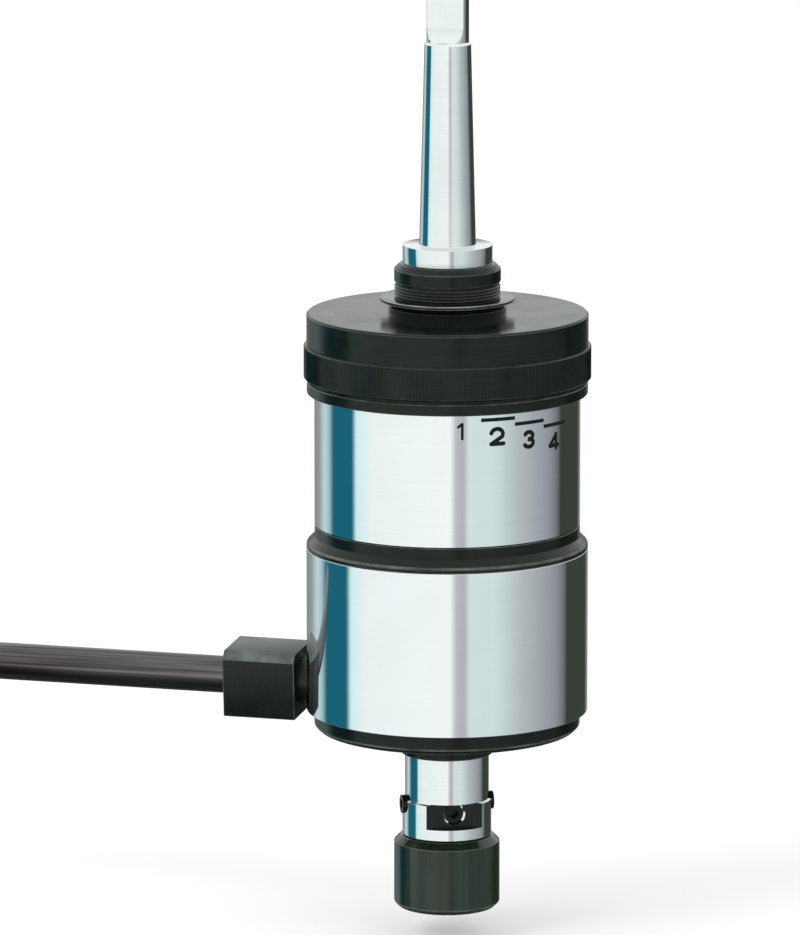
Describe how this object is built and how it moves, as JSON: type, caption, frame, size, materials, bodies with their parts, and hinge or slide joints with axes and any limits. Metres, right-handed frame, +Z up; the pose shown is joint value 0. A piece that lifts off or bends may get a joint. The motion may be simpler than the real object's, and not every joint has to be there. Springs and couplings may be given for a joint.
{
  "type": "tapping head",
  "caption": "Self-reversing tapping head with taper shank, torque-setting cap, planetary reverse gear, torque arm and collet spindle.",
  "frame": {"origin": "centre of the taper shank at its gauge line, 5 mm above the arbor's ground collar", "axes": "+Z up along the spindle axis towards the shank's tang, -X along the torque arm"},
  "size_m": [0.2678, 0.0916, 0.2956],
  "materials": {
    "chrome": "hard chrome, fine ground and polished",
    "ground_steel": "bright cylindrical-ground steel",
    "black_oxide": "black oxide, oiled, semi-gloss",
    "rod_black": "drawn bar, blackened",
    "gear_steel": "hardened and ground gear steel",
    "bearing_steel": "polished bearing steel",
    "spring_steel": "blued spring steel",
    "bronze": "bearing bronze",
    "lining": "moulded friction lining",
    "seal_rubber": "moulded rubber"
  },
  "bodies": {
    "drive": {"taper_arbor": "ground_steel", "drive_pin": "gear_steel", "neck_ring": "black_oxide", "neck_circlip": "spring_steel", "drive_spindle": "black_oxide", "clutch_linings": "lining"},
    "barrel": {"clutch_barrel": "chrome", "pressure_plate": "gear_steel", "clutch_springs": "spring_steel", "pilot_bush": "bronze", "stem_bush": "bronze", "ring_gear": "gear_steel", "ring_gear_screws": "black_oxide", "main_bearing_inner": "bearing_steel"},
    "spring_cup": {"spring_cup": "gear_steel"},
    "cap": {"adjusting_cap": "black_oxide", "grip_ring": "black_oxide", "index_rim": "black_oxide"},
    "housing": {"gear_housing": "black_oxide", "outer_sleeve": "chrome", "main_bearing_outer": "bearing_steel", "main_bearing_rollers": "bearing_steel", "bearing_circlip": "spring_steel", "planet_carrier": "gear_steel", "carrier_bush": "bronze", "planet_pins": "bearing_steel", "bottom_cover": "black_oxide", "bottom_bearing_outer": "bearing_steel", "bottom_bearing_balls": "bearing_steel", "wiper_seal": "seal_rubber", "arm_block": "black_oxide", "arm_bolt": "black_oxide", "torque_rod": "rod_black"},
    "planet_1": {"planet_gear_1": "gear_steel"},
    "planet_2": {"planet_gear_2": "gear_steel"},
    "planet_3": {"planet_gear_3": "gear_steel"},
    "reverse_gear": {"reverse_gear": "gear_steel"},
    "guide": {"guide_bush": "bronze", "bottom_bearing_inner": "bearing_steel"},
    "tap_spindle": {"tap_spindle": "ground_steel", "clutch_cone": "gear_steel", "upper_float_springs": "spring_steel", "lower_float_springs": "spring_steel", "spring_ring": "spring_steel", "guide_key": "gear_steel"},
    "collet": {"tap_collet": "gear_steel"},
    "collet_nut": {"collet_nut": "black_oxide"},
    "screw_1": {"square_screw_1": "black_oxide"},
    "screw_2": {"square_screw_2": "black_oxide"},
    "screw_3": {"square_screw_3": "black_oxide"},
    "screw_4": {"square_screw_4": "black_oxide"}
  },
  "joints": [
    {"name": "clutch_slip", "type": "hinge", "parent": "drive", "child": "barrel", "pos_m": [0, 0, 0], "axis": [0, 0, 1], "continuous": true},
    {"name": "cap_travel", "type": "slide", "parent": "barrel", "child": "spring_cup", "axis": [0, 0, 1], "range_m": [-0.0058, 0.0002], "deforming": ["clutch_springs"]},
    {"name": "cap_turn", "type": "hinge", "parent": "spring_cup", "child": "cap", "pos_m": [0, 0, 0], "axis": [0, 0, 1], "range_deg": [-1392, 48]},
    {"name": "drive_spin", "type": "hinge", "parent": "barrel", "child": "housing", "pos_m": [0, 0, 0], "axis": [0, 0, 1], "continuous": true},
    {"name": "reverse_spin", "type": "hinge", "parent": "housing", "child": "reverse_gear", "pos_m": [0, 0, 0], "axis": [0, 0, 1], "continuous": true},
    {"name": "spindle_spin", "type": "hinge", "parent": "housing", "child": "guide", "pos_m": [0, 0, 0], "axis": [0, 0, 1], "continuous": true},
    {"name": "spindle_float", "type": "slide", "parent": "guide", "child": "tap_spindle", "axis": [0, 0, 1], "range_m": [-0.003, 0.003], "stiffness_N_per_m": 9000, "deforming": ["upper_float_springs", "lower_float_springs"]},
    {"name": "nut_travel", "type": "slide", "parent": "tap_spindle", "child": "collet", "axis": [0, 0, 1], "range_m": [-0.006, 0]},
    {"name": "nut_turn", "type": "hinge", "parent": "collet", "child": "collet_nut", "pos_m": [0, 0, 0], "axis": [0, 0, 1], "range_deg": [-1440.01, 0.01]},
    {"name": "planet_spin_1", "type": "hinge", "parent": "housing", "child": "planet_1", "pos_m": [0.02625, 0, -0.1207], "axis": [0, 0, 1], "continuous": true},
    {"name": "planet_spin_2", "type": "hinge", "parent": "housing", "child": "planet_2", "pos_m": [-0.01312, 0.02273, -0.1207], "axis": [0, 0, 1], "continuous": true},
    {"name": "planet_spin_3", "type": "hinge", "parent": "housing", "child": "planet_3", "pos_m": [-0.01312, -0.02273, -0.1207], "axis": [0, 0, 1], "continuous": true},
    {"name": "screw_travel_1", "type": "slide", "parent": "tap_spindle", "child": "screw_1", "axis": [0.4695, -0.8829, 0], "range_m": [-0.0015, 0.003]},
    {"name": "screw_travel_2", "type": "slide", "parent": "tap_spindle", "child": "screw_2", "axis": [0.8829, 0.4695, 0], "range_m": [-0.0015, 0.003]},
    {"name": "screw_travel_3", "type": "slide", "parent": "tap_spindle", "child": "screw_3", "axis": [-0.4695, 0.8829, 0], "range_m": [-0.0015, 0.003]},
    {"name": "screw_travel_4", "type": "slide", "parent": "tap_spindle", "child": "screw_4", "axis": [-0.8829, -0.4695, 0], "range_m": [-0.0015, 0.003]}
  ],
  "couplings": [
    {"joint": "cap_travel", "follows": "cap_turn", "m_per_rad": 0.00023873},
    {"joint": "nut_turn", "follows": "nut_travel", "rad_per_m": 4188.8},
    {"joint": "reverse_spin", "follows": "drive_spin", "ratio": 1.8},
    {"joint": "planet_spin_1", "follows": "drive_spin", "ratio": -4.5},
    {"joint": "planet_spin_2", "follows": "drive_spin", "ratio": -4.5},
    {"joint": "planet_spin_3", "follows": "drive_spin", "ratio": -4.5}
  ]
}
